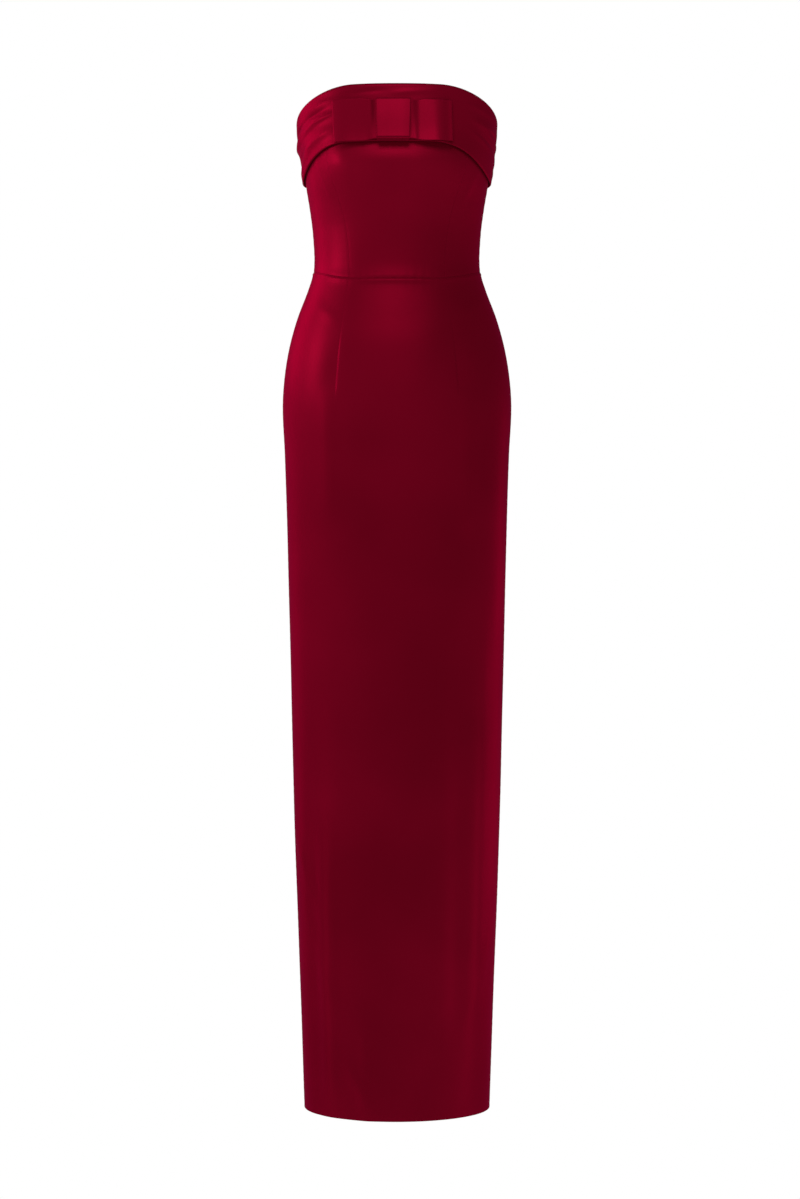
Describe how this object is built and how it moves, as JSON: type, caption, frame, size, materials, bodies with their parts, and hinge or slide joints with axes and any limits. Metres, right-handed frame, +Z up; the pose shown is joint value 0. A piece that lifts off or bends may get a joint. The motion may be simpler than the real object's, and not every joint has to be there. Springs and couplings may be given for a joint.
{
  "type": "strapless maxi dress",
  "caption": "Strapless floor-length satin column dress with a fold-over cuff, a flat front bow, princess seams, skirt darts and a back zip.",
  "frame": {"origin": "middle of the hollow at the bust line, where the wearer's bust and ribs hold the dress up, on the plane of the side seams", "axes": "+Z up from hem to neckline, front towards -Y, +X towards the wearer's left"},
  "size_m": [0.3076, 0.255, 1.357],
  "materials": {
    "satin": "heavy dark red satin with a soft sheen",
    "zip_tape": "matte woven tape, dyed to match",
    "zip_metal": "enamel, dyed to match"
  },
  "bodies": {
    "dress": {"bodice_front_center": "satin", "bodice_side_front_left": "satin", "bodice_side_front_right": "satin", "bodice_back_left": "satin", "bodice_back_right": "satin", "skirt_front": "satin", "skirt_back_left": "satin", "skirt_back_right": "satin", "cuff_front": "satin", "cuff_back_left": "satin", "cuff_back_right": "satin", "bow_loop_left": "satin", "bow_loop_right": "satin", "bow_knot": "satin", "zip_tape": "zip_tape", "zip_slider": "zip_metal"},
    "pull_tab": {"zip_pull_tab": "zip_metal"}
  },
  "joints": [
    {"name": "pull_tab_swing", "type": "hinge", "parent": "dress", "child": "pull_tab", "pos_m": [0, 0.09671, 0.0405], "axis": [1, 0, 0], "range_deg": [0, 150]}
  ]
}
